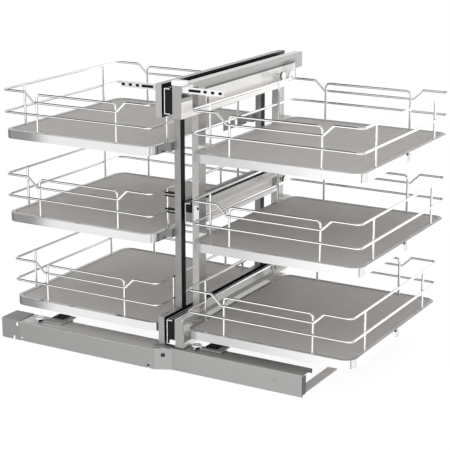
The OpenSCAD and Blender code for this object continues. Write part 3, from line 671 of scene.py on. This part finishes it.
def end_spread(tree, given, shape, scale):
    """Puts the shape on every point at the given scale, makes it real and gives it its finish."""
    place = tree.nodes.new("GeometryNodeInstanceOnPoints")
    real = tree.nodes.new("GeometryNodeRealizeInstances")
    dress = tree.nodes.new("GeometryNodeSetMaterial")
    sink = tree.nodes.new("NodeGroupOutput")
    tree.links.new(given["Points"], place.inputs["Points"])
    tree.links.new(shape, place.inputs["Instance"])
    tree.links.new(scale, place.inputs["Scale"])
    tree.links.new(place.outputs["Instances"], real.inputs["Geometry"])
    tree.links.new(real.outputs["Geometry"], dress.inputs["Geometry"])
    tree.links.new(given["Finish"], dress.inputs["Material"])
    tree.links.new(dress.outputs["Geometry"], sink.inputs["Geometry"])


def make_weld_tree():
    """A low round bead of weld on every point, each one a little different."""
    tree, given = new_spread(
        "weld_beads", (("Bead Radius", 0.004), ("Bead Height", 0.0016), ("Unevenness", 0.12)))
    ball = tree.nodes.new("GeometryNodeMeshUVSphere")
    ball.inputs["Segments"].default_value = 14
    ball.inputs["Rings"].default_value = 8
    ball.inputs["Radius"].default_value = 1.0
    size = size_of(tree, given, ("Bead Radius", "Bead Radius", "Bead Height"))
    chance = tree.nodes.new("FunctionNodeRandomValue")
    chance.data_type = "FLOAT"
    chance.inputs["Seed"].default_value = 7
    tree.links.new(maths(tree, "SUBTRACT", 1.0, given["Unevenness"]), chance.inputs[2])
    chance.inputs[3].default_value = 1.0
    vary = tree.nodes.new("ShaderNodeVectorMath")
    vary.operation = "SCALE"
    tree.links.new(size, vary.inputs[0])
    tree.links.new(chance.outputs[1], vary.inputs["Scale"])
    end_spread(tree, given, ball.outputs["Mesh"], vary.outputs[0])
    return tree


def make_clip_tree():
    """A small block on every point: a moulded clip on a rim, or the black strip put behind an arm as painted
    shade in its holes.
    """
    labels = ("Clip Depth", "Clip Length", "Clip Height")
    tree, given = new_spread("rim_clips", tuple(zip(labels, (0.003, 0.008, 0.004))))
    block = tree.nodes.new("GeometryNodeMeshCube")
    end_spread(tree, given, block.outputs["Mesh"], size_of(tree, given, labels))
    return tree


def spread(name, tree, points, sizes, finish, body):
    """Runs a tree over the points and keeps the result as a plain mesh on one body."""
    seeds = bpy.data.meshes.new(name + "_points")
    seeds.from_pydata(points, [], [])
    carrier = bpy.data.objects.new(name + "_points", seeds)
    scene.collection.objects.link(carrier)
    modifier = carrier.modifiers.new(name, "NODES")
    modifier.node_group = tree
    wanted = dict(sizes, Finish=finish)
    for item in tree.interface.items_tree:
        if item.in_out == "INPUT" and item.name in wanted:
            modifier[item.identifier] = wanted[item.name]
    mesh = bpy.data.meshes.new_from_object(carrier.evaluated_get(bpy.context.evaluated_depsgraph_get()))
    bpy.data.objects.remove(carrier)
    mesh.name = name
    piece = bpy.data.objects.new(name, mesh)
    scene.collection.objects.link(piece)
    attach(piece, body)


# Places of the uprights and loops from a gallery's middle, of their feet and welds from its outer side,
# and heights of the two wires that they are welded to
UPRIGHT_HALF = 0.162
LOOP_HALF = 0.109
FOOT_INSET = 0.007
WELD_INSET = 0.0049
MIDDLE_WIRE = 0.042
LOW_TOP_WIRE = 0.0705


def standing_places(side, tier, inset):
    """Pairs of places, a side upright's and an end loop's, in the four quarters of a gallery."""
    low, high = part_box(f"{side}_{tier}_gallery")
    middle = [(a + b) / 2 for a, b in zip(low, high)]
    half = [(b - a) / 2 for a, b in zip(low, high)]
    for sx in (-1, 1):
        for sy in (-1, 1):
            upright = (middle[0] + sx * (half[0] - inset), middle[1] + sy * UPRIGHT_HALF)
            loop = (middle[0] + sx * LOOP_HALF, middle[1] + sy * (half[1] - inset))
            yield upright, loop


def wire_feet(side, tier):
    """Places where the uprights and the loops stand on the rim."""
    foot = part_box(f"{side}_{tier}_gallery")[0][2]
    return [(*place, foot) for pair in standing_places(side, tier, FOOT_INSET) for place in pair]


def wire_crossings(side, tier):
    """Places where the uprights and the loops are welded to the wires round the tray."""
    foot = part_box(f"{side}_{tier}_gallery")[0][2]
    places = []
    for upright, loop in standing_places(side, tier, WELD_INSET):
        places.append((*upright, foot + MIDDLE_WIRE))
        places.append((*loop, foot + MIDDLE_WIRE))
        places.append((*loop, foot + LOW_TOP_WIRE))
    return places


def clip_places(side):
    """Places on the outer sides of the rims, beside their seams."""
    sunk, beside_seam, below_top = 0.0015, 0.0085, 0.0022
    places = []
    for tier in TIERS:
        low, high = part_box(f"{side}_{tier}_rim")
        outer = low[0] + sunk if side == "rear" else high[0] - sunk
        places.append((outer, (low[1] + high[1]) / 2 - beside_seam, high[2] - below_top))
    return places


def shadow_strip_place(name):
    """Middle of the black strip behind an arm's holes and slot, which stands for the shade in them."""
    from_end, arm_thick, behind = 0.0445, 0.003, 0.0006
    low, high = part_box(name)
    return [(from_tip(name, from_end), low[1] + arm_thick + behind, (low[2] + high[2]) / 2)]


WELDS = make_weld_tree()
CLIPS = make_clip_tree()
FOOT_WELD = {"Bead Radius": 0.0041, "Bead Height": 0.0017}
WIRE_WELD = {"Bead Radius": 0.0032, "Bead Height": 0.0036}
# A black strip behind each arm, standing in for the shade seen through its holes
ARM_SHADOW_STRIP = {"Clip Depth": 0.086, "Clip Length": 0.001, "Clip Height": 0.009}
for side, body in SIDES.items():
    feet = [place for tier in TIERS for place in wire_feet(side, tier)]
    crossings = [place for tier in TIERS for place in wire_crossings(side, tier)]
    shadow_behind_arm = shadow_strip_place(side + "_arm")
    spread(side + "_foot_welds", WELDS, feet, FOOT_WELD, CHROME_WIRE, body)
    spread(side + "_wire_welds", WELDS, crossings, WIRE_WELD, CHROME_WIRE, body)
    spread(side + "_rim_clips", CLIPS, clip_places(side), {}, BLACK, body)
    spread(side + "_arm_shadow_strip", CLIPS, shadow_behind_arm, ARM_SHADOW_STRIP, BLACK, body)


# Stage: floor, world, lights, camera

def seen_directly(tree, path):
    """One for camera, glossy and transmission rays."""
    total = path.outputs["Is Camera Ray"]
    for ray in ("Is Glossy Ray", "Is Transmission Ray"):
        total = maths(tree, "MAXIMUM", total, path.outputs[ray])
    return total


def make_floor():
    """A pale floor that keeps the object's shadow, and is nearly white where it is seen."""
    half, white_share = 9.0, 0.88
    grey, matt, brightness = 0.9, 0.9, 1.05
    corners = [(-half, -half, 0), (half, -half, 0), (half, half, 0), (-half, half, 0)]
    mesh = bpy.data.meshes.new("studio_floor")
    mesh.from_pydata(corners, [], [(0, 1, 2, 3)])
    floor = bpy.data.objects.new("studio_floor", mesh)
    floor.visible_glossy = False
    scene.collection.objects.link(floor)
    paint = bpy.data.materials.new("studio_white")
    paint.use_nodes = True
    tree = paint.node_tree
    shader = tree.nodes["Principled BSDF"]
    shader.inputs["Roughness"].default_value = matt
    shader.inputs["Base Color"].default_value = (*tone(grey), 1.0)
    glow = tree.nodes.new("ShaderNodeEmission")
    glow.inputs["Strength"].default_value = brightness
    path = tree.nodes.new("ShaderNodeLightPath")
    share = maths(tree, "MULTIPLY", seen_directly(tree, path), white_share)
    mix = tree.nodes.new("ShaderNodeMixShader")
    tree.links.new(share, mix.inputs[0])
    tree.links.new(shader.outputs[0], mix.inputs[1])
    tree.links.new(glow.outputs[0], mix.inputs[2])
    tree.links.new(mix.outputs[0], tree.nodes["Material Output"].inputs["Surface"])
    mesh.materials.append(paint)


def turn_from(tree, x, y, heading):
    """How far a direction is turned from a heading, in radians."""
    turn = maths(tree, "SUBTRACT", maths(tree, "ARCTAN2", y, x), heading)
    return maths(tree, "ABSOLUTE", turn)


def studio_tone(tree):
    """What polished metal sees: a white room, brighter at the back right and in front, with a dark wall
    at the left and a dim ceiling, black at the left and the front."""
    wall_heading, wall_half, wall_top, wall_dark = -0.026, (0.938, 0.943), (-0.02, 0.06), 0.66
    back_heading, back_half, back_light, side_light = 1.25, (0.18, 0.32), 1.7, 0.85
    front_start, front_light = (-0.5, 0.0), 1.5
    ceiling_start, ceiling_dim = (0.40, 0.48), 0.4
    left_cloth_edge, front_cloth_edge = (-0.42, -0.34), (-0.66, -0.56)
    coords = tree.nodes.new("ShaderNodeTexCoord")
    split = tree.nodes.new("ShaderNodeSeparateXYZ")
    tree.links.new(coords.outputs["Generated"], split.inputs[0])
    x, y, z = split.outputs
    to_left, to_front = (maths(tree, "MULTIPLY", part, -1.0) for part in (x, y))
    wall = map_range(tree, turn_from(tree, to_left, to_front, wall_heading), wall_dark, 0.0, *wall_half)
    wall = maths(tree, "MULTIPLY", wall, map_range(tree, z, 1.0, 0.0, *wall_top))
    room = map_range(tree, turn_from(tree, x, y, back_heading), back_light, side_light, *back_half)
    room = maths(tree, "MULTIPLY", room, map_range(tree, y, front_light, 1.0, *front_start))
    room = maths(tree, "MULTIPLY", room, maths(tree, "SUBTRACT", 1.0, wall))
    left_cloth = map_range(tree, x, 1.0, ceiling_dim, *left_cloth_edge)
    front_cloth = map_range(tree, y, 1.0, ceiling_dim, *front_cloth_edge)
    cloth = maths(tree, "MAXIMUM", left_cloth, front_cloth)
    overhead = map_range(tree, z, 0.0, 1.0, *ceiling_start)
    ceiling = maths(tree, "SUBTRACT", 1.0, maths(tree, "MULTIPLY", cloth, overhead))
    return maths(tree, "MULTIPLY", room, ceiling)


def make_world():
    """White round the object for the camera, even light for it, and a studio for its reflections."""
    ambient = 0.80
    world = bpy.data.worlds.new("studio")
    scene.world = world
    world.use_nodes = True
    tree = world.node_tree
    back = tree.nodes["Background"]
    path = tree.nodes.new("ShaderNodeLightPath")
    seen = {"Is Glossy Ray": studio_tone(tree), "Is Camera Ray": 1.0, "Is Transmission Ray": 1.0}
    last = ambient
    for ray, value in seen.items():
        others = maths(tree, "SUBTRACT", 1.0, path.outputs[ray])
        last = maths(tree, "ADD", maths(tree, "MULTIPLY", last, others),
                     maths(tree, "MULTIPLY", value, path.outputs[ray]))
    tree.links.new(last, back.inputs["Strength"])
    back.inputs["Color"].default_value = (1.0, 1.0, 1.0, 1.0)


def add_softbox(name, place, size, watts):
    """A rectangular lamp aimed at the middle of the baskets."""
    aim = Vector((0.0, 0.0, 0.3))
    lamp = bpy.data.lights.new(name, "AREA")
    lamp.shape = "RECTANGLE"
    lamp.size, lamp.size_y = size
    lamp.energy = watts
    holder = bpy.data.objects.new(name, lamp)
    holder.location = place
    holder.rotation_euler = (aim - Vector(place)).to_track_quat("-Z", "Y").to_euler()
    holder.visible_glossy = False
    scene.collection.objects.link(holder)


def add_camera():
    """The photograph's camera, fitted to the trays, the beams and the rail."""
    eye = (1.5905, -2.79245, 1.1657)
    azimuth, elevation = 29.89, 15.55
    lens = bpy.data.cameras.new("photo_camera")
    lens.sensor_width = 36.0
    lens.lens = 112.094
    holder = bpy.data.objects.new("photo_camera", lens)
    holder.location = eye
    holder.rotation_euler = (math.radians(90.0 - elevation), 0.0, math.radians(azimuth))
    scene.collection.objects.link(holder)
    scene.camera = holder


scene.view_settings.view_transform = "Standard"
make_floor()
make_world()
add_softbox("overhead_softbox", (0.2, -0.3, 2.6), (2.0, 2.0), 2.0)
add_softbox("front_softbox", (0.8, -3.2, 1.2), (2.4, 0.9), 42.0)
add_softbox("left_softbox", (-3.0, -0.8, 0.9), (1.6, 0.8), 34.0)
add_softbox("right_softbox", (3.0, -0.4, 0.9), (1.6, 0.8), 24.0)
add_camera()
